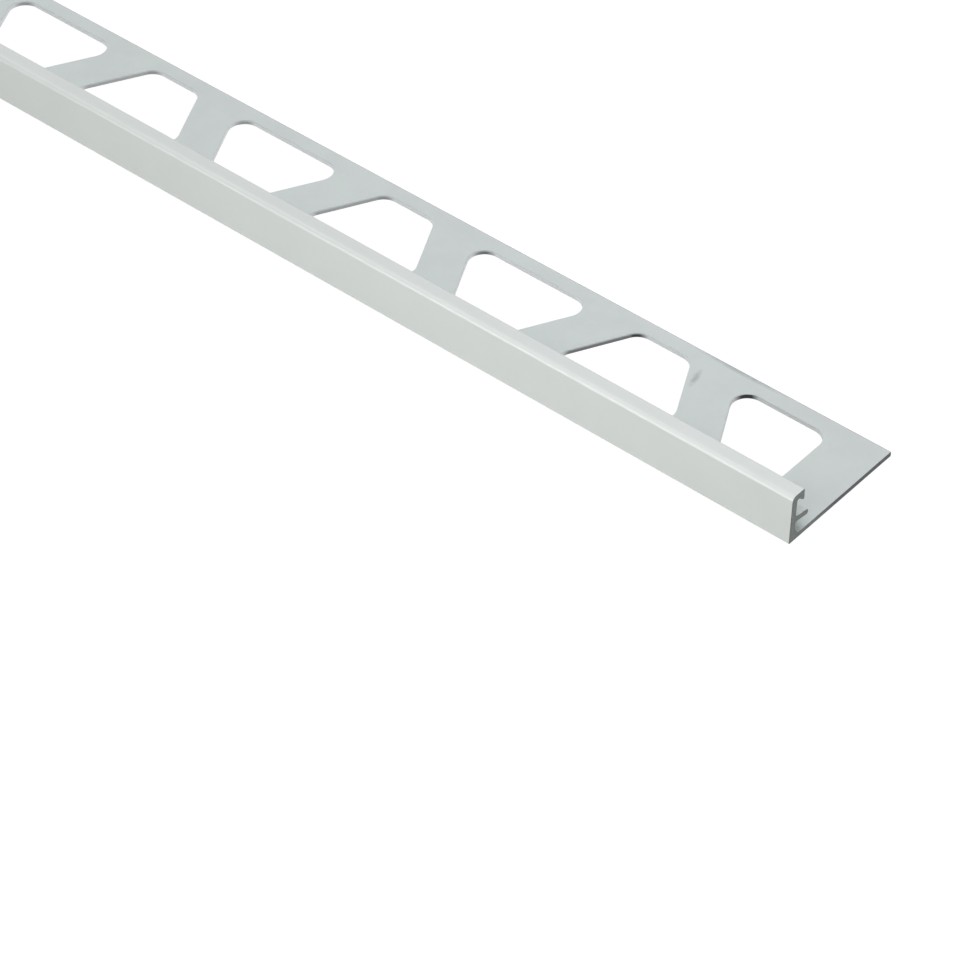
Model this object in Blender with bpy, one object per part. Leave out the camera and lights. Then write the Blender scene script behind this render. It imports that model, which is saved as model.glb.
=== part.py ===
"""Tile edge trim: an extruded aluminium section with a perforated anchoring leg.

The section is one outline in the YZ plane, drawn anticlockwise from the foot of the visible wall and
extruded along X. One row of rounded trapezoids, pointing to the back and to the front in turn, is then
punched through the leg.

The trim lies on its leg. The visible wall faces -Y, and the first punched hole is at the +X end.
"""
import math

import bpy
import bmesh
from mathutils import Vector

MM = 0.001

# Stock
LENGTH = 1000.0 * MM
TRIM_HEIGHT = 10.0 * MM

# Anchoring leg, which lies in the tile adhesive
LEG_WIDTH = 28.0 * MM
LEG_THICKNESS = 0.95 * MM

# Visible wall, which leans back a little
WALL_THICKNESS = 1.35 * MM
WALL_LEAN = math.radians(1.2)
FOOT_RADIUS = 0.2 * MM

# Lip that ends level with the tile. A groove under it parts the wall from the hook along its back edge
LIP_THICKNESS = 1.3 * MM
LIP_EDGE_RADIUS = 0.2 * MM
LIP_CORNER_RADIUS = 1.0 * MM
LIP_ROOT_RADIUS = 0.3 * MM
LIP_GROOVE = 0.52 * MM
HOOK_WIDTH = 1.35 * MM
HOOK_NOSE = 0.3 * MM
HOOK_HEIGHT = 0.9 * MM
HOOK_ROOT_RADIUS = 0.15 * MM

# Thickened corner between the wall and the leg
GUSSET_WIDTH = 1.05 * MM
GUSSET_HEIGHT = 1.55 * MM
GUSSET_RADIUS = 0.7 * MM

# Rib behind the wall, clear of the gusset and sloping down. Its tip sets the width of the grout joint
RIB_CLEARANCE = 1.5 * MM
JOINT_WIDTH = 1.4 * MM
RIB_THICKNESS = 1.08 * MM
RIB_SLOPE = math.radians(7.5)
RIB_TIP_RADIUS = 0.5 * MM
RIB_UPPER_ROOT_RADIUS = 0.7 * MM
RIB_LOWER_ROOT_RADIUS = 0.5 * MM

# Row of punched trapezoids, whose sides slant by the same angle each way
HOLE_PITCH = 29.5 * MM
HOLE_DEPTH = 16.4 * MM
HOLE_SLANT = math.radians(27.5)
HOLE_CORNER_RADIUS = 3.1 * MM
WEB_WIDTH = 8.25 * MM
BACK_STRIP = 3.0 * MM

# End of the stock where the punching starts: its first hole is squared off there, and a little shallower
FIRST_HOLE_CENTRE = 15.75 * MM
FIRST_HOLE_BACK_STRIP = 3.3 * MM
END_TAB = 10.15 * MM
SHORTEST_FAR_TAB = 5.0 * MM

# Fineness of the round corners, and the size under which points are one
SECTION_ARC_STEP = math.radians(18)
HOLE_ARC_STEP = math.radians(15)
WELD_DISTANCE = 0.001 * MM


def remove_everything():
    for thing in list(bpy.data.objects):
        bpy.data.objects.remove(thing)


def new_collection(name):
    collection = bpy.data.collections.new(name)
    bpy.context.scene.collection.children.link(collection)
    return collection


def arc(before, corner, after, radius, step):
    """Points of the arc that rounds a corner, or the corner itself where its radius is 0."""
    if radius == 0:
        return [corner]
    to_before = (before - corner).normalized()
    to_after = (after - corner).normalized()
    half_angle = to_before.angle(to_after) / 2
    centre = corner + (to_before + to_after).normalized() * radius / math.sin(half_angle)
    start = corner + to_before * radius / math.tan(half_angle) - centre
    turn = math.copysign(math.pi - 2 * half_angle, -to_before.cross(to_after))
    steps = max(1, math.ceil(abs(turn) / step))
    points = []
    for i in range(steps + 1):
        angle = turn * i / steps
        spoke = Vector((start.x * math.cos(angle) - start.y * math.sin(angle),
                        start.x * math.sin(angle) + start.y * math.cos(angle)))
        points.append(centre + spoke)
    return points


def rounded_outline(corners, step):
    """Points of a closed outline, from its corners as (x, y, radius)."""
    places = [Vector(corner[:2]) for corner in corners]
    points = []
    for i, corner in enumerate(corners):
        points += arc(places[i - 1], places[i], places[(i + 1) % len(places)], corner[2], step)
    return points


def flat_outline_curve(name, outlines, thickness):
    """A filled 2D curve of closed outlines, as thick as given."""
    curve = bpy.data.curves.new(name, "CURVE")
    curve.dimensions = "2D"
    curve.fill_mode = "BOTH"
    curve.extrude = thickness / 2
    for points in outlines:
        spline = curve.splines.new("POLY")
        spline.points.add(len(points) - 1)
        for spline_point, point in zip(spline.points, points):
            spline_point.co = (point.x, point.y, 0, 1)
        spline.use_cyclic_u = True
    return bpy.data.objects.new(name, curve)


def curve_to_mesh(curve_object, collection):
    """The curve's solid as a mesh object with welded caps, in the curve's place. The curve is removed."""
    collection.objects.link(curve_object)
    depsgraph = bpy.context.evaluated_depsgraph_get()
    mesh = bpy.data.meshes.new_from_object(curve_object.evaluated_get(depsgraph))
    name = curve_object.name
    place = curve_object.matrix_world.copy()
    bpy.data.objects.remove(curve_object)
    shape = bmesh.new()
    shape.from_mesh(mesh)
    bmesh.ops.remove_doubles(shape, verts=shape.verts, dist=WELD_DISTANCE)
    bmesh.ops.recalc_face_normals(shape, faces=shape.faces)
    shape.to_mesh(mesh)
    shape.free()
    solid = bpy.data.objects.new(name, mesh)
    solid.matrix_world = place
    collection.objects.link(solid)
    return solid


def wall_face(height, behind=0.0):
    """Distance from the front of the foot to the leaning wall's outer face, or to a face behind it."""
    return height * math.tan(WALL_LEAN) + behind / math.cos(WALL_LEAN)


def section_corners():
    """The section's corners as (y, z, radius), with y from the front of the foot."""
    leg = [
        (0, 0, FOOT_RADIUS),
        (LEG_WIDTH, 0, 0),
        (LEG_WIDTH, LEG_THICKNESS, 0),
    ]
    gusset_top = LEG_THICKNESS + GUSSET_HEIGHT
    gusset_foot = wall_face(LEG_THICKNESS, WALL_THICKNESS) + GUSSET_WIDTH
    gusset = [
        (gusset_foot, LEG_THICKNESS, GUSSET_RADIUS),
        (wall_face(gusset_top, WALL_THICKNESS), gusset_top, GUSSET_RADIUS),
    ]
    rib_low = gusset_top + RIB_CLEARANCE
    rib_high = rib_low + RIB_THICKNESS / math.cos(RIB_SLOPE)
    rib_root = wall_face(rib_low, WALL_THICKNESS)
    lip_under = TRIM_HEIGHT - LIP_THICKNESS
    lip_root = wall_face(lip_under, WALL_THICKNESS)
    lip_back = lip_root + LIP_GROOVE + HOOK_WIDTH
    rib_tip = lip_back + JOINT_WIDTH
    rib_fall = (rib_tip - rib_root) * math.tan(RIB_SLOPE)
    rib = [
        (rib_root, rib_low, RIB_LOWER_ROOT_RADIUS),
        (rib_tip, rib_low - rib_fall, RIB_TIP_RADIUS),
        (rib_tip, rib_high - rib_fall, RIB_TIP_RADIUS),
        (wall_face(rib_high, WALL_THICKNESS), rib_high, RIB_UPPER_ROOT_RADIUS),
    ]
    hook_foot = lip_under - HOOK_HEIGHT
    lip = [
        (lip_root, lip_under, LIP_ROOT_RADIUS),
        (lip_root + LIP_GROOVE, lip_under, HOOK_ROOT_RADIUS),
        (lip_back - HOOK_NOSE, hook_foot, 0),
        (lip_back, hook_foot, 0),
        (lip_back, TRIM_HEIGHT, LIP_EDGE_RADIUS),
        (wall_face(TRIM_HEIGHT), TRIM_HEIGHT, LIP_CORNER_RADIUS),
    ]
    return leg + gusset + rib + lip


def build_section(collection):
    """The unpunched extrusion, with its outline's x along Y, its y along Z and its thickness along X."""
    points = rounded_outline(section_corners(), SECTION_ARC_STEP)
    section = flat_outline_curve("edge_trim", [points], LENGTH)
    section.rotation_euler = (math.pi / 2, 0, math.pi / 2)
    section.location = (0, -LEG_WIDTH / 2, 0)
    return curve_to_mesh(section, collection)


def hole_corners(number):
    """Corners of one hole as (x, y, radius). Even holes are wide at the back, and odd ones at the front."""
    centre = LENGTH / 2 - FIRST_HOLE_CENTRE - number * HOLE_PITCH
    back = LEG_WIDTH / 2 - BACK_STRIP
    front = back - HOLE_DEPTH
    middle_half_width = (HOLE_PITCH - WEB_WIDTH / math.cos(HOLE_SLANT)) / 2
    flare = HOLE_DEPTH / 2 * math.tan(HOLE_SLANT)
    if number % 2:
        flare = -flare
    front_half_width = middle_half_width - flare
    back_half_width = middle_half_width + flare
    front_right = centre + front_half_width
    back_right = centre + back_half_width
    if number == 0:
        front_right = back_right = LENGTH / 2 - END_TAB
        back = LEG_WIDTH / 2 - FIRST_HOLE_BACK_STRIP
    return [
        (centre - front_half_width, front, HOLE_CORNER_RADIUS),
        (front_right, front, HOLE_CORNER_RADIUS),
        (back_right, back, HOLE_CORNER_RADIUS),
        (centre - back_half_width, back, HOLE_CORNER_RADIUS),
    ]


def hole_outlines():
    """Outlines of the whole holes that fit in the length."""
    outlines = []
    corners = hole_corners(0)
    while min(corner[0] for corner in corners) > SHORTEST_FAR_TAB - LENGTH / 2:
        outlines.append(rounded_outline(corners, HOLE_ARC_STEP))
        corners = hole_corners(len(outlines))
    return outlines


def build_hole_cutter(collection):
    """All the punches as one object, which reaches past both faces of the leg."""
    punches = flat_outline_curve("leg_punches", hole_outlines(), 3 * LEG_THICKNESS)
    punches.location = (0, 0, LEG_THICKNESS / 2)
    cutter = curve_to_mesh(punches, collection)
    cutter.hide_render = True
    cutter.display_type = "WIRE"
    return cutter


def punch(solid, cutter):
    cut = solid.modifiers.new("leg_punches", "BOOLEAN")
    cut.operation = "DIFFERENCE"
    cut.solver = "EXACT"
    cut.object = cutter


def coated_aluminium():
    """Pale grey coating, as on the visible wall and lip."""
    material = bpy.data.materials.new("coated_aluminium")
    material.use_nodes = True
    shader = material.node_tree.nodes["Principled BSDF"]
    shader.inputs["Base Color"].default_value = (0.62, 0.65, 0.63, 1)
    shader.inputs["Roughness"].default_value = 0.45
    shader.inputs["Metallic"].default_value = 0.0
    return material


def main():
    remove_everything()
    parts = new_collection("tile_edge_trim")
    cutters = new_collection("cutters")
    trim = build_section(parts)
    trim.data.materials.append(coated_aluminium())
    trim.data.shade_smooth()
    trim.data.set_sharp_from_angle(angle=math.radians(30))
    punch(trim, build_hole_cutter(cutters))


main()
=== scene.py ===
"""Tile edge trim: the looks of a colour coated aluminium edge profile, in a small white studio.

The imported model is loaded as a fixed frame, and a finer trim of the same sizes takes its place. The finer
trim has broken edges, sawn ends, and the rims that a punch rolls over round each hole of its leg.
"""

import math

import bmesh
import bpy
from bpy.props import FloatProperty, FloatVectorProperty, PointerProperty
from mathutils import Matrix, Vector


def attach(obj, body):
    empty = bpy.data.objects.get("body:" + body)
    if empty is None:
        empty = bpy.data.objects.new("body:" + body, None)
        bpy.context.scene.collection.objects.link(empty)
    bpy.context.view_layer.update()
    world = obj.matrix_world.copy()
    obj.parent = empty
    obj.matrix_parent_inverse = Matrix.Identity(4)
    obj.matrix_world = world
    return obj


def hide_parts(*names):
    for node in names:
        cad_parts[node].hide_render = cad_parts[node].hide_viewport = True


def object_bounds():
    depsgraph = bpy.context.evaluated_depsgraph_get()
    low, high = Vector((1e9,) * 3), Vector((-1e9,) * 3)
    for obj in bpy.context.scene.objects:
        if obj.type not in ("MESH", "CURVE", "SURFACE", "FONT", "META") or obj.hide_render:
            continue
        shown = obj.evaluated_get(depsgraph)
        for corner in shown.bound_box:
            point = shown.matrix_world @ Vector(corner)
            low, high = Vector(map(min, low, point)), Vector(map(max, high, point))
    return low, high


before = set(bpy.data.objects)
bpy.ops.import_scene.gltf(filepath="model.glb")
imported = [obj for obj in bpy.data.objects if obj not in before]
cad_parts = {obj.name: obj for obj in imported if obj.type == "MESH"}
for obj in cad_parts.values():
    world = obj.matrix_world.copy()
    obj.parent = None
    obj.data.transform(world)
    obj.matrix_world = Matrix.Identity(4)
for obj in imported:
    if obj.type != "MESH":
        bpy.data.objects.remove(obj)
CAD_LOW, CAD_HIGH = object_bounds()
CAD_SIZE = CAD_HIGH - CAD_LOW

bl_info = {
    "name": "Tile Edge Trim",
    "version": (1, 0, 0),
    "blender": (4, 5, 0),
    "location": "3D View > Sidebar > Edge Trim",
    "description": "Builds a punched and coated aluminium tile edge trim, and a studio round it",
    "category": "Add Mesh",
}

MM = 0.001

# Finishes, in the order of the trim's material slots
COATED, LEG, SAWN, PUNCHED = range(4)

# Small breaks of the sharp edges, fineness of the arcs, and the turn under which faces shade as one
SHARP_EDGE_RADIUS = 0.12 * MM
SAWN_EDGE_BREAK = 0.07 * MM
SECTION_ARC_STEP = math.radians(7.5)
HOLE_ARC_STEP = math.radians(6)
SMOOTH_UNDER = math.radians(38)

# Rim that the punch rolls over as it enters from above: part of a quarter ellipse, up from the hole's wall.
# The punch itself goes on past the leg's underside
ROLL_WIDTH = 0.16 * MM
ROLL_DEPTH = 0.12 * MM
ROLL_TURN = math.radians(65)
ROLL_STEPS = 4
PUNCH_OVERRUN = 1.0 * MM

# Softboxes over each end of the trim: kind, place from the end and size in metres, spread in degrees,
# power in watts, and tint
SOFTBOXES = (
    ("overhead_softbox", (0.0, 0.13, 0.5), (0.8, 0.9), 180, 2.2, "#F8F8FF"),
    ("front_softbox", (-0.3, -0.6, 0.06), (0.6, 0.08), 130, 0.41, "#FFFFFF"),
    ("low_softbox", (-0.04, -0.14, 0.08), (0.2, 0.2), 180, 0.1, "#FFFFFF"),
    ("side_softbox", (-0.32, -0.15, 0.25), (0.2, 0.15), 180, 0.07, "#FFFFFF"),
)

# Even light from all round. The floor glows to the eye, and adds a small share of the light that falls
# on it, so that the trim's shadow is there and stays faint
SKY_LIGHT = 0.12
FLOOR_GLOW = 0.94
SHADOW_SHARE = 0.14
FLOOR_SIZE = 30.0

# Camera: its place in metres from the middle of the trim's underside, and its turns
CAMERA_PLACE = Vector((0.72261, -0.34332, 0.37983))
CAMERA_HEADING = math.radians(41.140)
CAMERA_PITCH = math.radians(42.885)
CAMERA_ROLL = math.radians(-0.345)
SENSOR_WIDTH_MM = 36.0
NEAREST_SEEN = 10 * MM

# Sockets of a Mix node that blends two colours
MIX_A, MIX_B, MIX_RESULT = 6, 7, 2

# Width of one wave of a Wave Texture node whose scale is 1
WAVE_WIDTH = math.pi / 10


def linear_colour(code):
    """Linear red, green and blue of an sRGB colour such as '#D8DCDA'."""
    channels = [int(code[i:i + 2], 16) / 255 for i in (1, 3, 5)]
    return [c / 12.92 if c <= 0.04045 else ((c + 0.055) / 1.055) ** 2.4 for c in channels]


class EdgeTrimSection(bpy.types.PropertyGroup):
    """Sizes of the extruded section"""

    length: FloatProperty(
        name="Length",
        description="Length of the stock",
        default=CAD_SIZE.x,
        unit="LENGTH",
    )
    trim_height: FloatProperty(
        name="Trim Height",
        description="Height of the trim, which is that of the tile",
        default=CAD_SIZE.z,
        unit="LENGTH",
    )
    leg_width: FloatProperty(
        name="Leg Width",
        description="Width of the leg that lies in the adhesive, with the wall's foot",
        default=CAD_SIZE.y,
        unit="LENGTH",
    )
    leg_thickness: FloatProperty(
        name="Leg Thickness",
        description="Thickness of the leg that lies in the adhesive",
        default=0.95 * MM,
        unit="LENGTH",
    )
    wall_thickness: FloatProperty(
        name="Wall Thickness",
        description="Thickness of the visible wall",
        default=1.35 * MM,
        unit="LENGTH",
    )
    wall_lean: FloatProperty(
        name="Wall Lean",
        description="Angle by which the visible wall leans back over the leg",
        default=math.radians(1.2),
        subtype="ANGLE",
    )
    foot_radius: FloatProperty(
        name="Foot Radius",
        description="Radius of the corner at the foot of the visible wall",
        default=0.2 * MM,
        unit="LENGTH",
    )
    lip_thickness: FloatProperty(
        name="Lip Thickness",
        description="Thickness of the lip that ends level with the tile",
        default=1.3 * MM,
        unit="LENGTH",
    )
    lip_corner_radius: FloatProperty(
        name="Lip Corner Radius",
        description="Radius of the visible edge between the wall and the lip",
        default=1.0 * MM,
        unit="LENGTH",
    )
    lip_edge_radius: FloatProperty(
        name="Lip Edge Radius",
        description="Radius of the lip's back edge",
        default=0.2 * MM,
        unit="LENGTH",
    )
    lip_root_radius: FloatProperty(
        name="Lip Root Radius",
        description="Radius of the inner corner between the wall and the lip",
        default=0.3 * MM,
        unit="LENGTH",
    )
    lip_groove: FloatProperty(
        name="Lip Groove",
        description="Width of the groove between the wall and the hook",
        default=0.52 * MM,
        unit="LENGTH",
    )
    hook_width: FloatProperty(
        name="Hook Width",
        description="Width of the hook along the lip's back edge",
        default=1.35 * MM,
        unit="LENGTH",
    )
    hook_nose: FloatProperty(
        name="Hook Nose",
        description="Width of the hook's flat lower end",
        default=0.3 * MM,
        unit="LENGTH",
    )
    hook_height: FloatProperty(
        name="Hook Height",
        description="Height by which the hook stands down from the lip",
        default=0.9 * MM,
        unit="LENGTH",
    )
    hook_root_radius: FloatProperty(
        name="Hook Root Radius",
        description="Radius between the groove and the hook",
        default=0.15 * MM,
        unit="LENGTH",
    )
    gusset_width: FloatProperty(
        name="Gusset Width",
        description="Reach along the leg of the thickened corner",
        default=1.05 * MM,
        unit="LENGTH",
    )
    gusset_height: FloatProperty(
        name="Gusset Height",
        description="Reach up the wall of the thickened corner",
        default=1.55 * MM,
        unit="LENGTH",
    )
    gusset_radius: FloatProperty(
        name="Gusset Radius",
        description="Radius of both ends of the thickened corner",
        default=0.7 * MM,
        unit="LENGTH",
    )
    rib_clearance: FloatProperty(
        name="Rib Clearance",
        description="Height from the thickened corner to the rib",
        default=1.5 * MM,
        unit="LENGTH",
    )
    joint_width: FloatProperty(
        name="Joint Width",
        description="Width of the grout joint, by which the rib reaches beyond the lip",
        default=1.4 * MM,
        unit="LENGTH",
    )
    rib_thickness: FloatProperty(
        name="Rib Thickness",
        description="Thickness of the rib behind the wall",
        default=1.08 * MM,
        unit="LENGTH",
    )
    rib_slope: FloatProperty(
        name="Rib Slope",
        description="Angle by which the rib slopes down from the wall",
        default=math.radians(7.5),
        subtype="ANGLE",
    )
    rib_tip_radius: FloatProperty(
        name="Rib Tip Radius",
        description="Radius of the rib's tip",
        default=0.5 * MM,
        unit="LENGTH",
    )
    rib_upper_root_radius: FloatProperty(
        name="Rib Upper Root Radius",
        description="Radius of the corner between the wall and the rib's upper face",
        default=0.7 * MM,
        unit="LENGTH",
    )
    rib_lower_root_radius: FloatProperty(
        name="Rib Lower Root Radius",
        description="Radius of the corner between the wall and the rib's lower face",
        default=0.5 * MM,
        unit="LENGTH",
    )


class EdgeTrimPunching(bpy.types.PropertyGroup):
    """Sizes of the row of punched holes"""

    pitch: FloatProperty(
        name="Pitch",
        description="Distance from one hole to the next",
        default=29.5 * MM,
        unit="LENGTH",
    )
    depth: FloatProperty(
        name="Depth",
        description="Depth of each hole across the leg",
        default=16.4 * MM,
        unit="LENGTH",
    )
    slant: FloatProperty(
        name="Slant",
        description="Angle by which each hole's sides slant",
        default=math.radians(27.5),
        subtype="ANGLE",
    )
    corner_radius: FloatProperty(
        name="Corner Radius",
        description="Radius of the holes' corners",
        default=3.1 * MM,
        unit="LENGTH",
    )
    web_width: FloatProperty(
        name="Web Width",
        description="Width of the web between two holes",
        default=8.25 * MM,
        unit="LENGTH",
    )
    back_strip: FloatProperty(
        name="Back Strip",
        description="Width of the solid strip along the leg's back edge",
        default=3.0 * MM,
        unit="LENGTH",
    )
    first_centre: FloatProperty(
        name="First Centre",
        description="Distance from the punched end to the first hole's centre",
        default=15.75 * MM,
        unit="LENGTH",
    )
    first_back_strip: FloatProperty(
        name="First Back Strip",
        description="Width of the solid strip behind the first hole",
        default=3.3 * MM,
        unit="LENGTH",
    )
    end_tab: FloatProperty(
        name="End Tab",
        description="Length of the solid tab before the first hole",
        default=10.15 * MM,
        unit="LENGTH",
    )
    second_shortfall: FloatProperty(
        name="Second Shortfall",
        description="Width by which the second hole falls short on its side towards the punched end",
        default=0.37 * MM,
        unit="LENGTH",
    )
    shortest_far_tab: FloatProperty(
        name="Shortest Far Tab",
        description="Length that the solid tab at the far end has at least",
        default=5.0 * MM,
        unit="LENGTH",
    )


class EdgeTrimFinish(bpy.types.PropertyGroup):
    """Colours of the trim's surfaces"""

    coat: FloatVectorProperty(
        name="Coat",
        description="Colour of the coat on the visible wall and lip",
        default=linear_colour("#D2D6D2"),
        subtype="COLOR",
        min=0,
        max=1,
    )
    coat_patches: FloatVectorProperty(
        name="Coat Patches",
        description="Colour of the coat's faint, slightly darker patches",
        default=linear_colour("#D0D4D0"),
        subtype="COLOR",
        min=0,
        max=1,
    )
    leg: FloatVectorProperty(
        name="Leg",
        description="Colour of the thin coat on the leg and inner faces",
        default=linear_colour("#E3ECE6"),
        subtype="COLOR",
        min=0,
        max=1,
    )
    leg_patches: FloatVectorProperty(
        name="Leg Patches",
        description="Colour of the faint patches where the coat on the leg is thinner",
        default=linear_colour("#DFE5E2"),
        subtype="COLOR",
        min=0,
        max=1,
    )
    # Also the painted shade in the deep corner behind the wall's foot, and a darker stretch of the leg's
    # back edge
    rub_and_shade: FloatVectorProperty(
        name="Rub Mark",
        description="Colour of the leg's coat where it is rubbed or thin",
        default=linear_colour("#BEC6C4"),
        subtype="COLOR",
        min=0,
        max=1,
    )
    # The sawn ends' dark colour is partly the dull metal's own and partly painted shade
    sawn: FloatVectorProperty(
        name="Sawn Metal",
        description="Colour of the sawn ends",
        default=linear_colour("#7C827E"),
        subtype="COLOR",
        min=0,
        max=1,
    )
    # The leg's sawn end is darker than the wall's; like it, its darkness is partly painted shade
    sawn_leg: FloatVectorProperty(
        name="Sawn Leg",
        description="Colour of the leg's thin sawn end, which the blade burnishes darker",
        default=linear_colour("#626466"),
        subtype="COLOR",
        min=0,
        max=1,
    )
    sheared: FloatVectorProperty(
        name="Sheared Metal",
        description="Colour of the punched walls where the punch cut them cleanly",
        default=linear_colour("#E7EAEA"),
        subtype="COLOR",
        min=0,
        max=1,
    )
    # Colour of the painted shade on the punched walls that face the front and right, darker towards the
    # bottom
    painted_shade: FloatVectorProperty(
        name="Torn Metal",
        description="Colour of the punched walls where a worn punch tore them",
        default=linear_colour("#2C2E30"),
        subtype="COLOR",
        min=0,
        max=1,
    )


class EdgeTrimStudio(bpy.types.PropertyGroup):
    """Camera and floor of the studio"""

    lens: FloatProperty(
        name="Lens",
        description="Focal length of the camera",
        default=125.7,
        subtype="DISTANCE_CAMERA",
    )
    floor: FloatVectorProperty(
        name="Floor",
        description="Colour of the floor",
        default=linear_colour("#F6F7F7"),
        subtype="COLOR",
        min=0,
        max=1,
    )


def arc(before, corner, after, radius, step):
    """Points of the arc that rounds a corner."""
    to_before = (before - corner).normalized()
    to_after = (after - corner).normalized()
    half_angle = to_before.angle(to_after) / 2
    centre = corner + (to_before + to_after).normalized() * radius / math.sin(half_angle)
    start = corner + to_before * radius / math.tan(half_angle) - centre
    turn = math.copysign(math.pi - 2 * half_angle, -to_before.cross(to_after))
    steps = max(1, round(abs(turn) / step))
    points = []
    for i in range(steps + 1):
        angle = turn * i / steps
        spoke = Vector((start.x * math.cos(angle) - start.y * math.sin(angle),
                        start.x * math.sin(angle) + start.y * math.cos(angle)))
        points.append(centre + spoke)
    return points


def rounded_outline(corners, step, growth=0.0):
    """Points of a closed anticlockwise outline, grown outwards, and the corner that each point belongs to.

    A corner is (x, y, radius, ...). The number of points doesn't depend on the growth.
    """
    places = [Vector(corner[:2]) for corner in corners]
    sides = [(places[(i + 1) % len(places)] - place).normalized() for i, place in enumerate(places)]
    grown = []
    for i, place in enumerate(places):
        out_before = Vector((sides[i - 1].y, -sides[i - 1].x))
        out_after = Vector((sides[i].y, -sides[i].x))
        grown.append(place + (out_before + out_after) * growth / (1 + out_before.dot(out_after)))
    points = []
    owners = []
    for i, corner in enumerate(corners):
        convex = sides[i - 1].cross(sides[i]) > 0
        radius = corner[2] + growth if convex else corner[2] - growth
        stretch = arc(grown[i - 1], grown[i], grown[(i + 1) % len(grown)], radius, step)
        points += stretch
        owners += [i] * len(stretch)
    return points, owners


def loft(rings, finishes, cap_finish):
    """A closed bmesh through rings of as many points each, capped at both ends.

    finishes[i][j] is that of the face from point j of ring i to ring i + 1.
    """
    shape = bmesh.new()
    rows = [[shape.verts.new(point) for point in ring] for ring in rings]
    for row, next_row, row_finishes in zip(rows, rows[1:], finishes):
        for j, finish in enumerate(row_finishes):
            k = (j + 1) % len(row)
            face = shape.faces.new((row[j], row[k], next_row[k], next_row[j]))
            face.material_index = finish
    for row in (rows[0], rows[-1]):
        shape.faces.new(row).material_index = cap_finish
    bmesh.ops.recalc_face_normals(shape, faces=shape.faces)
    return shape


def mesh_object(name, shapes, materials):
    """A mesh object in the scene of one or more bmeshes, which are freed."""
    mesh = bpy.data.meshes.new(name)
    whole = bmesh.new()
    for shape in shapes:
        shape.to_mesh(mesh)
        shape.free()
        whole.from_mesh(mesh)
    whole.to_mesh(mesh)
    whole.free()
    for material in materials:
        mesh.materials.append(material)
    thing = bpy.data.objects.new(name, mesh)
    bpy.context.scene.collection.objects.link(thing)
    return thing


def section_corners(section):
    """The section's corners as (y, z, radius, finish of the rounding, finish of the stretch after it).

    They run anticlockwise from the front of the foot, which y is measured from. A sharp edge holds no
    coat, so its rounding is bare metal, as dull as the sawn ends.
    """

    def wall_face(height, behind=0.0):
        return height * math.tan(section.wall_lean) + behind / math.cos(section.wall_lean)

    thickness = section.wall_thickness
    gusset_top = section.leg_thickness + section.gusset_height
    gusset_foot = wall_face(section.leg_thickness, thickness) + section.gusset_width
    rib_low = gusset_top + section.rib_clearance
    rib_high = rib_low + section.rib_thickness / math.cos(section.rib_slope)
    rib_root = wall_face(rib_low, thickness)
    lip_under = section.trim_height - section.lip_thickness
    lip_root = wall_face(lip_under, thickness)
    lip_back = lip_root + section.lip_groove + section.hook_width
    rib_tip = lip_back + section.joint_width
    rib_fall = (rib_tip - rib_root) * math.tan(section.rib_slope)
    hook_foot = lip_under - section.hook_height
    return [
        (0, 0, section.foot_radius, LEG, LEG),
        (section.leg_width, 0, SHARP_EDGE_RADIUS, SAWN, LEG),
        (section.leg_width, section.leg_thickness, SHARP_EDGE_RADIUS, SAWN, LEG),
        (gusset_foot, section.leg_thickness, section.gusset_radius, LEG, LEG),
        (wall_face(gusset_top, thickness), gusset_top, section.gusset_radius, LEG, LEG),
        (rib_root, rib_low, section.rib_lower_root_radius, LEG, LEG),
        (rib_tip, rib_low - rib_fall, section.rib_tip_radius, LEG, LEG),
        (rib_tip, rib_high - rib_fall, section.rib_tip_radius, LEG, LEG),
        (wall_face(rib_high, thickness), rib_high, section.rib_upper_root_radius, LEG, LEG),
        (lip_root, lip_under, section.lip_root_radius, LEG, LEG),
        (lip_root + section.lip_groove, lip_under, section.hook_root_radius, LEG, LEG),
        (lip_back - section.hook_nose, hook_foot, SHARP_EDGE_RADIUS, SAWN, LEG),
        (lip_back, hook_foot, SHARP_EDGE_RADIUS, SAWN, COATED),
        (lip_back, section.trim_height, section.lip_edge_radius, COATED, COATED),
        (wall_face(section.trim_height), section.trim_height, section.lip_corner_radius, COATED, COATED),
    ]


def stock_shape(section):
    """The unpunched extrusion, with its sawn ends' edges broken."""
    corners = section_corners(section)
    half = section.length / 2
    rings = []
    for x, growth in ((-half, -SAWN_EDGE_BREAK), (SAWN_EDGE_BREAK - half, 0),
                      (half - SAWN_EDGE_BREAK, 0), (half, -SAWN_EDGE_BREAK)):
        points, owners = rounded_outline(corners, SECTION_ARC_STEP, growth)
        rings.append([(x, y - section.leg_width / 2, z) for y, z in points])
    side_finishes = []
    for owner, next_owner in zip(owners, owners[1:] + owners[:1]):
        rounding_finish, stretch_finish = corners[owner][3:]
        side_finishes.append(rounding_finish if owner == next_owner else stretch_finish)
    edge_finishes = [SAWN] * len(owners)
    return loft(rings, [edge_finishes, side_finishes, edge_finishes], SAWN)


def hole_corners(section, punching, number):
    """Corners of one hole as (x, y, radius). Even holes are wide at the back, and odd ones at the front.

    The first is squared off towards the punched end, and the second falls short on that side.
    """
    centre = section.length / 2 - punching.first_centre - number * punching.pitch
    back = section.leg_width / 2 - punching.back_strip
    front = back - punching.depth
    middle_half_width = (punching.pitch - punching.web_width / math.cos(punching.slant)) / 2
    flare = punching.depth / 2 * math.tan(punching.slant)
    if number % 2:
        flare = -flare
    front_half_width = middle_half_width - flare
    back_half_width = middle_half_width + flare
    front_right = centre + front_half_width
    back_right = centre + back_half_width
    if number == 0:
        front_right = back_right = section.length / 2 - punching.end_tab
        back = section.leg_width / 2 - punching.first_back_strip
    if number == 1:
        front_right -= punching.second_shortfall
        back_right -= punching.second_shortfall
    radius = punching.corner_radius
    return [
        (centre - front_half_width, front, radius),
        (front_right, front, radius),
        (back_right, back, radius),
        (centre - back_half_width, back, radius),
    ]


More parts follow.
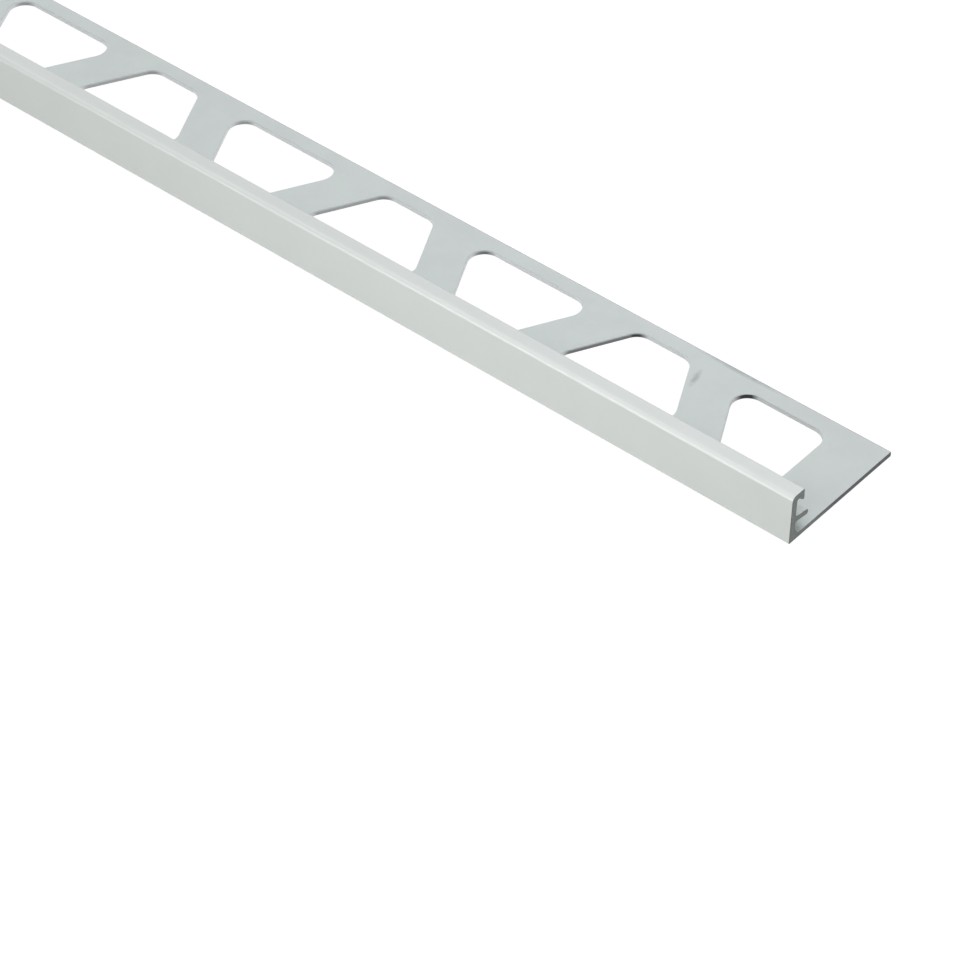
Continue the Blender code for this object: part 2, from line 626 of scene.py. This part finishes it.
def punch_shapes(section, punching):
    """One shape for each hole: straight through the leg, and flared at the rim that the punch rolls over."""
    top = section.leg_thickness
    levels = [(-PUNCH_OVERRUN, 0.0)]
    for i in range(ROLL_STEPS + 1):
        turn = ROLL_TURN * i / ROLL_STEPS
        levels.append((top - ROLL_DEPTH * (1 - math.sin(turn)), ROLL_WIDTH * (1 - math.cos(turn))))
    # Above the leg, the rim goes on at its last slope
    slope = math.tan(ROLL_TURN) * ROLL_WIDTH / ROLL_DEPTH
    levels.append((top + ROLL_DEPTH, levels[-1][1] + slope * (top + ROLL_DEPTH - levels[-1][0])))
    shapes = []
    corners = hole_corners(section, punching, 0)
    while min(corner[0] for corner in corners) > punching.shortest_far_tab - section.length / 2:
        rings = []
        for z, growth in levels:
            points, owners = rounded_outline(corners, HOLE_ARC_STEP, growth)
            rings.append([(x, y, z) for x, y in points])
        finishes = [[PUNCHED] * len(owners)] + [[LEG] * len(owners)] * (len(levels) - 2)
        shapes.append(loft(rings, finishes, LEG))
        corners = hole_corners(section, punching, len(shapes))
    return shapes


def punch_out(thing, cutter):
    """Cuts the cutter out of the thing for good, and removes it. Both have the same material slots."""
    cut = thing.modifiers.new("punch", "BOOLEAN")
    cut.operation = "DIFFERENCE"
    cut.solver = "EXACT"
    cut.object = cutter
    depsgraph = bpy.context.evaluated_depsgraph_get()
    mesh = bpy.data.meshes.new_from_object(thing.evaluated_get(depsgraph))
    thing.modifiers.clear()
    thing.data = mesh
    bpy.data.objects.remove(cutter)


def shade_by_area(thing):
    """Rounds the shading of the arcs, and keeps the large flat faces flat beside them."""
    thing.data.shade_smooth()
    thing.data.set_sharp_from_angle(angle=SMOOTH_UNDER)
    weighted = thing.modifiers.new("weighted_normals", "WEIGHTED_NORMAL")
    weighted.keep_sharp = True
    weighted.weight = 100


def add_node(tree, kind, inputs=None, **settings):
    """Adds a node with its settings. An input, by name or number, takes a value or another node's output."""
    node = tree.nodes.new(kind)
    for name, value in settings.items():
        setattr(node, name, value)
    for name, value in (inputs or {}).items():
        if isinstance(value, bpy.types.NodeSocket):
            tree.links.new(value, node.inputs[name])
        else:
            node.inputs[name].default_value = value
    return node


def new_material(name):
    """A material, its node tree and its shader."""
    material = bpy.data.materials.new(name)
    material.use_nodes = True
    return material, material.node_tree, material.node_tree.nodes["Principled BSDF"]


def powder_coated_aluminium(finish):
    """Aluminium under a baked powder coat with fine metal flake.

    To the eye it is an even satin with a faint orange peel, which lights up softly on the rounded edge.
    """
    patch_size = 11 * MM
    peel_size = 1.3 * MM
    peel_height = 0.010 * MM
    material, tree, shader = new_material("powder_coated_aluminium")
    place = add_node(tree, "ShaderNodeTexCoord").outputs["Object"]
    patches = add_node(tree, "ShaderNodeTexNoise", {
        "Vector": place, "Scale": 1 / patch_size, "Detail": 3, "Roughness": 0.6,
    }).outputs["Fac"]
    spread = add_node(tree, "ShaderNodeMapRange", {
        "Value": patches, "From Min": 0.35, "From Max": 0.65,
    }).outputs["Result"]
    colour = add_node(tree, "ShaderNodeMix", {
        "Factor": spread, MIX_A: (*finish.coat, 1), MIX_B: (*finish.coat_patches, 1),
    }, data_type="RGBA").outputs[MIX_RESULT]
    peel = add_node(tree, "ShaderNodeTexNoise", {
        "Vector": place, "Scale": 1 / peel_size, "Detail": 2,
    }).outputs["Fac"]
    roughness = add_node(tree, "ShaderNodeMapRange", {
        "Value": peel, "From Min": 0.3, "From Max": 0.7, "To Min": 0.4, "To Max": 0.46,
    }).outputs["Result"]
    bump = add_node(tree, "ShaderNodeBump", {
        "Height": peel, "Distance": peel_height, "Strength": 1,
    }).outputs["Normal"]
    shader.inputs["Metallic"].default_value = 0.3
    tree.links.new(colour, shader.inputs["Base Color"])
    tree.links.new(roughness, shader.inputs["Roughness"])
    tree.links.new(bump, shader.inputs["Normal"])
    return material


def thin_coated_aluminium(finish):
    """Extruded aluminium under a thin mist of coat: pale, with faint die lines, patches, rubs, and painted
    shade in the corner behind the wall's foot.
    """
    patch_size = 9 * MM
    # Coarser than real die lines, which are too fine to show
    line_length = 60 * MM
    line_width = 0.45 * MM
    line_height = 0.008 * MM
    # Darker places by centre, half size and turn: a rub mark beside the second hole, a darker stretch along
    # the leg's back edge, and painted shade in the deep corner behind the wall's foot, from end to end
    through_leg = 100 * MM
    past_both_ends = 10.0
    darker_places = (
        ((463.8 * MM, 7.4 * MM, 0), (0.75 * MM, 2.9 * MM, through_leg), math.radians(14)),
        ((469.0 * MM, 13.8 * MM, 0), (11 * MM, 0.9 * MM, through_leg), 0),
        ((0, -11.4 * MM, 1.0 * MM), (past_both_ends, 2.2 * MM, 2.2 * MM), 0),
    )
    mark_grain = 0.8 * MM
    material, tree, shader = new_material("thin_coated_aluminium")
    place = add_node(tree, "ShaderNodeTexCoord").outputs["Object"]
    patches = add_node(tree, "ShaderNodeTexNoise", {
        "Vector": place, "Scale": 1 / patch_size, "Detail": 4, "Roughness": 0.65,
    }).outputs["Fac"]
    spread = add_node(tree, "ShaderNodeMapRange", {
        "Value": patches, "From Min": 0.35, "From Max": 0.7,
    }).outputs["Result"]
    coat = add_node(tree, "ShaderNodeMix", {
        "Factor": spread, MIX_A: (*finish.leg, 1), MIX_B: (*finish.leg_patches, 1),
    }, data_type="RGBA").outputs[MIX_RESULT]
    nearness = 0
    for centre, half_size, turn in darker_places:
        around = add_node(tree, "ShaderNodeMapping", {
            "Vector": place, "Location": centre, "Rotation": (0, 0, turn), "Scale": half_size,
        }, vector_type="TEXTURE").outputs["Vector"]
        within = add_node(tree, "ShaderNodeTexGradient", {
            "Vector": around,
        }, gradient_type="SPHERICAL").outputs["Fac"]
        nearness = add_node(tree, "ShaderNodeMath", {
            0: nearness, 1: within,
        }, operation="MAXIMUM").outputs["Value"]
    grain = add_node(tree, "ShaderNodeTexNoise", {
        "Vector": place, "Scale": 1 / mark_grain, "Detail": 2,
    }).outputs["Fac"]
    grainy = add_node(tree, "ShaderNodeMath", {0: nearness, 1: grain}, operation="MULTIPLY").outputs["Value"]
    darkened = add_node(tree, "ShaderNodeMapRange", {"Value": grainy, "From Max": 0.45}).outputs["Result"]
    colour = add_node(tree, "ShaderNodeMix", {
        "Factor": darkened, MIX_A: coat, MIX_B: (*finish.rub_and_shade, 1),
    }, data_type="RGBA").outputs[MIX_RESULT]
    drawn = add_node(tree, "ShaderNodeMapping", {
        "Vector": place, "Scale": (1 / line_length, 1 / line_width, 1 / line_width),
    }).outputs["Vector"]
    lines = add_node(tree, "ShaderNodeTexNoise", {"Vector": drawn, "Scale": 1, "Detail": 3}).outputs["Fac"]
    roughness = add_node(tree, "ShaderNodeMapRange", {
        "Value": lines, "From Min": 0.3, "From Max": 0.7, "To Min": 0.4, "To Max": 0.48,
    }).outputs["Result"]
    bump = add_node(tree, "ShaderNodeBump", {
        "Height": lines, "Distance": line_height, "Strength": 1,
    }).outputs["Normal"]
    tree.links.new(colour, shader.inputs["Base Color"])
    tree.links.new(roughness, shader.inputs["Roughness"])
    tree.links.new(bump, shader.inputs["Normal"])
    return material


def sawn_aluminium(finish):
    """Bare aluminium cut by a circular saw, which leaves dull metal scored by shallow arcs, darkened in part
    as painted shade.
    """
    score_spacing = 0.345 * MM
    score_height = 0.02 * MM
    smear_size = 0.5 * MM
    smear_weight = 3
    blade_centre = Vector((0, -60 * MM, -120 * MM))
    # Across the end, the metal changes from the wall's to the leg's between these places
    wall_side = -9 * MM
    leg_side = 0
    material, tree, shader = new_material("sawn_aluminium")
    place = add_node(tree, "ShaderNodeTexCoord").outputs["Object"]
    from_blade = add_node(tree, "ShaderNodeMapping", {
        "Vector": place, "Location": -blade_centre,
    }).outputs["Vector"]
    scores = add_node(tree, "ShaderNodeTexWave", {
        "Vector": from_blade, "Scale": WAVE_WIDTH / score_spacing,
        "Distortion": 1.5, "Detail": 3, "Detail Scale": 2,
    }, wave_type="RINGS", rings_direction="X").outputs["Fac"]
    across = add_node(tree, "ShaderNodeSeparateXYZ", {"Vector": place}).outputs["Y"]
    along_leg = add_node(tree, "ShaderNodeMapRange", {
        "Value": across, "From Min": wall_side, "From Max": leg_side,
    }, interpolation_type="SMOOTHSTEP").outputs["Result"]
    metal = add_node(tree, "ShaderNodeMix", {
        "Factor": along_leg, MIX_A: (*finish.sawn, 1), MIX_B: (*finish.sawn_leg, 1),
    }, data_type="RGBA").outputs[MIX_RESULT]
    smears = add_node(tree, "ShaderNodeTexNoise", {
        "Vector": place, "Scale": 1 / smear_size, "Detail": 2,
    }).outputs["Fac"]
    marked = add_node(tree, "ShaderNodeMath", {
        0: smears, 1: smear_weight, 2: scores,
    }, operation="MULTIPLY_ADD").outputs["Value"]
    brightness = add_node(tree, "ShaderNodeMapRange", {
        "Value": marked, "From Min": 1.2, "From Max": 2.8, "To Min": 0.6, "To Max": 1.16,
    }).outputs["Result"]
    colour = add_node(tree, "ShaderNodeMix", {
        "Factor": 1.0, MIX_A: metal, MIX_B: brightness,
    }, data_type="RGBA", blend_type="MULTIPLY").outputs[MIX_RESULT]
    bump = add_node(tree, "ShaderNodeBump", {
        "Height": scores, "Distance": score_height, "Strength": 0.5,
    }).outputs["Normal"]
    shader.inputs["Metallic"].default_value = 0.6
    shader.inputs["Roughness"].default_value = 0.55
    tree.links.new(colour, shader.inputs["Base Color"])
    tree.links.new(bump, shader.inputs["Normal"])
    return material


def punched_aluminium(finish):
    """Bare aluminium sheared by a punch: bright where it cut cleanly, with painted shade on the walls that
    face the front and right.

    The painted shade is darkest in the first hole, and fades along the row.
    """
    score_size = 0.3 * MM
    shade_turn = math.radians(-47)
    shade_side = Vector((math.cos(shade_turn), math.sin(shade_turn), 0))
    # How squarely a wall faces the shaded side where the painted shade starts, and where it is full
    shade_start, shade_full = 0.67, 0.985
    # Places along the trim between which the painted shade deepens, and then turns into the first hole's
    deepening_from, deepening_to = 365 * MM, 460 * MM
    first_hole_from, first_hole_to = 455 * MM, 469 * MM
    lightest_shade = 0.54
    # Heights in the leg above which the walls take no painted shade, and below which they take it in full
    unshaded_above, full_shade_below = 0.95 * MM, 0.5 * MM
    # The first hole's painted shade is narrower, reaches further up, and lays a faint dark shade all round
    row_narrowness, first_narrowness = 1.6, 2.0
    first_reach = 0.75
    first_hole_shade = 0.18
    material, tree, shader = new_material("punched_aluminium")
    facing = add_node(tree, "ShaderNodeTexCoord").outputs["Normal"]
    place = add_node(tree, "ShaderNodeTexCoord").outputs["Object"]
    towards = add_node(tree, "ShaderNodeVectorMath", {
        0: facing, 1: shade_side,
    }, operation="DOT_PRODUCT").outputs["Value"]
    nearly = add_node(tree, "ShaderNodeMapRange", {
        "Value": towards, "From Min": shade_start, "From Max": shade_full,
    }).outputs["Result"]
    where = add_node(tree, "ShaderNodeSeparateXYZ", {"Vector": place})
    first_hole = add_node(tree, "ShaderNodeMapRange", {
        "Value": where.outputs["X"], "From Min": first_hole_from, "From Max": first_hole_to,
    }).outputs["Result"]
    narrowness = add_node(tree, "ShaderNodeMapRange", {
        "Value": first_hole, "To Min": row_narrowness, "To Max": first_narrowness,
    }).outputs["Result"]
    shade_facing = add_node(tree, "ShaderNodeMath", {0: nearly, 1: narrowness}, operation="POWER").outputs["Value"]
    shade_along_row = add_node(tree, "ShaderNodeMapRange", {
        "Value": where.outputs["X"], "From Min": deepening_from, "From Max": deepening_to,
        "To Min": lightest_shade,
    }, interpolation_type="SMOOTHSTEP").outputs["Result"]
    down = add_node(tree, "ShaderNodeMapRange", {
        "Value": where.outputs["Z"], "From Min": unshaded_above, "From Max": full_shade_below,
    }).outputs["Result"]
    reach = add_node(tree, "ShaderNodeMath", {
        0: first_hole, 1: first_reach, 2: down,
    }, operation="MULTIPLY_ADD", use_clamp=True).outputs["Value"]
    facing_shade = add_node(tree, "ShaderNodeMath", {0: shade_facing, 1: shade_along_row}, operation="MULTIPLY").outputs["Value"]
    shade_mask = add_node(tree, "ShaderNodeMath", {0: facing_shade, 1: reach}, operation="MULTIPLY").outputs["Value"]
    painted_shade = add_node(tree, "ShaderNodeMath", {
        0: first_hole, 1: first_hole_shade, 2: shade_mask,
    }, operation="MULTIPLY_ADD", use_clamp=True).outputs["Value"]
    colour = add_node(tree, "ShaderNodeMix", {
        "Factor": painted_shade, MIX_A: (*finish.sheared, 1), MIX_B: (*finish.painted_shade, 1),
    }, data_type="RGBA").outputs[MIX_RESULT]
    scores = add_node(tree, "ShaderNodeTexNoise", {
        "Vector": place, "Scale": 1 / score_size, "Detail": 3,
    }).outputs["Fac"]
    roughness = add_node(tree, "ShaderNodeMapRange", {
        "Value": scores, "From Min": 0.3, "From Max": 0.7, "To Min": 0.45, "To Max": 0.6,
    }).outputs["Result"]
    shader.inputs["Metallic"].default_value = 0.4
    tree.links.new(colour, shader.inputs["Base Color"])
    tree.links.new(roughness, shader.inputs["Roughness"])
    return material


class EDGETRIM_OT_build_trim(bpy.types.Operator):
    """Build the punched and coated trim in the place of the plain model"""

    bl_idname = "edge_trim.build_trim"
    bl_label = "Build Trim"
    bl_options = {"REGISTER", "UNDO"}

    def execute(self, context):
        section = context.scene.edge_trim_section
        punching = context.scene.edge_trim_punching
        finish = context.scene.edge_trim_finish
        materials = [
            powder_coated_aluminium(finish),
            thin_coated_aluminium(finish),
            sawn_aluminium(finish),
            punched_aluminium(finish),
        ]
        trim = mesh_object("coated_edge_trim", [stock_shape(section)], materials)
        punch_out(trim, mesh_object("leg_punches", punch_shapes(section, punching), materials))
        shade_by_area(trim)
        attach(trim, "root")
        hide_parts("edge_trim")
        return {"FINISHED"}


def add_seen(tree):
    """1 for rays that show a surface to the camera, straight or in gloss or glass, and 0 for other rays."""
    path = add_node(tree, "ShaderNodeLightPath")
    straight_or_gloss = add_node(tree, "ShaderNodeMath", {
        0: path.outputs["Is Camera Ray"], 1: path.outputs["Is Glossy Ray"],
    }, operation="MAXIMUM").outputs["Value"]
    return add_node(tree, "ShaderNodeMath", {
        0: straight_or_gloss, 1: path.outputs["Is Transmission Ray"],
    }, operation="MAXIMUM").outputs["Value"]


def studio_floor(studio):
    """Painted board, matt and white.

    To the eye it is white with a faint shadow, so that it meets the background.
    """
    material = bpy.data.materials.new("matt_white_board")
    material.use_nodes = True
    tree = material.node_tree
    tree.nodes.clear()
    board = add_node(tree, "ShaderNodeBsdfDiffuse", {"Color": (*studio.floor, 1)}).outputs["BSDF"]
    faint = add_node(tree, "ShaderNodeBsdfDiffuse", {
        "Color": (SHADOW_SHARE, SHADOW_SHARE, SHADOW_SHARE, 1),
    }).outputs["BSDF"]
    glow = add_node(tree, "ShaderNodeEmission", {"Strength": FLOOR_GLOW}).outputs["Emission"]
    shown = add_node(tree, "ShaderNodeAddShader", {0: faint, 1: glow}).outputs["Shader"]
    either = add_node(tree, "ShaderNodeMixShader", {0: add_seen(tree), 1: board, 2: shown}).outputs["Shader"]
    add_node(tree, "ShaderNodeOutputMaterial", {"Surface": either})
    return material


def studio_world():
    """White to the eye and in gloss, and a dim even light on everything else."""
    world = bpy.data.worlds.new("studio_world")
    world.use_nodes = True
    tree = world.node_tree
    tree.nodes.clear()
    strength = add_node(tree, "ShaderNodeMapRange", {
        "Value": add_seen(tree), "To Min": SKY_LIGHT, "To Max": 1.0,
    }).outputs["Result"]
    background = add_node(tree, "ShaderNodeBackground", {
        "Color": (1, 1, 1, 1), "Strength": strength,
    }).outputs["Background"]
    add_node(tree, "ShaderNodeOutputWorld", {"Surface": background})
    return world


def add_softbox(name, place, target, size, spread, power, colour):
    """A rectangular area lamp at a place, turned to a target."""
    lamp = bpy.data.lights.new(name, "AREA")
    lamp.shape = "RECTANGLE"
    lamp.size, lamp.size_y = size
    lamp.spread = math.radians(spread)
    lamp.energy = power
    lamp.color = linear_colour(colour)
    thing = bpy.data.objects.new(name, lamp)
    thing.location = place
    thing.rotation_euler = (Vector(target) - Vector(place)).to_track_quat("-Z", "Y").to_euler()
    thing.visible_camera = False
    bpy.context.scene.collection.objects.link(thing)


class EDGETRIM_OT_build_studio(bpy.types.Operator):
    """Add the floor, the lamps and the camera"""

    bl_idname = "edge_trim.build_studio"
    bl_label = "Build Studio"
    bl_options = {"REGISTER", "UNDO"}

    def execute(self, context):
        studio = context.scene.edge_trim_studio
        scene = context.scene
        scene.view_settings.view_transform = "Standard"
        scene.world = studio_world()

        bpy.ops.mesh.primitive_plane_add(size=FLOOR_SIZE)
        floor = context.object
        floor.name = "floor"
        floor.data.materials.append(studio_floor(studio))

        for label, end in (("near", Vector((CAD_HIGH.x, 0, 0))), ("far", Vector((CAD_LOW.x, 0, 0)))):
            for kind, offset, size, spread, power, tint in SOFTBOXES:
                add_softbox(f"{label}_{kind}", end + Vector(offset), end, size, spread, power, tint)

        camera = bpy.data.objects.new("camera", bpy.data.cameras.new("camera"))
        camera.data.sensor_width = SENSOR_WIDTH_MM
        camera.data.lens = studio.lens
        camera.data.clip_start = NEAREST_SEEN
        camera.matrix_world = (
            Matrix.Translation(CAMERA_PLACE)
            @ Matrix.Rotation(CAMERA_HEADING, 4, "Z")
            @ Matrix.Rotation(math.pi / 2 - CAMERA_PITCH, 4, "X")
            @ Matrix.Rotation(CAMERA_ROLL, 4, "Z")
        )
        scene.collection.objects.link(camera)
        scene.camera = camera
        return {"FINISHED"}


class EDGETRIM_PT_panel(bpy.types.Panel):
    """Sizes, colours and steps of the edge trim"""

    bl_idname = "EDGETRIM_PT_panel"
    bl_label = "Tile Edge Trim"
    bl_space_type = "VIEW_3D"
    bl_region_type = "UI"
    bl_category = "Edge Trim"

    def draw(self, context):
        layout = self.layout
        for group_name, group in GROUPS.items():
            box = layout.box()
            for name in group.__annotations__:
                box.prop(getattr(context.scene, group_name), name)
        layout.operator(EDGETRIM_OT_build_trim.bl_idname)
        layout.operator(EDGETRIM_OT_build_studio.bl_idname)


GROUPS = {
    "edge_trim_section": EdgeTrimSection,
    "edge_trim_punching": EdgeTrimPunching,
    "edge_trim_finish": EdgeTrimFinish,
    "edge_trim_studio": EdgeTrimStudio,
}
CLASSES = (*GROUPS.values(), EDGETRIM_OT_build_trim, EDGETRIM_OT_build_studio, EDGETRIM_PT_panel)


def register():
    for each in CLASSES:
        bpy.utils.register_class(each)
    for name, group in GROUPS.items():
        setattr(bpy.types.Scene, name, PointerProperty(type=group))


def unregister():
    for name in GROUPS:
        delattr(bpy.types.Scene, name)
    for each in reversed(CLASSES):
        bpy.utils.unregister_class(each)


def main():
    register()
    bpy.ops.edge_trim.build_trim()
    bpy.ops.edge_trim.build_studio()


if __name__ == "__main__":
    main()
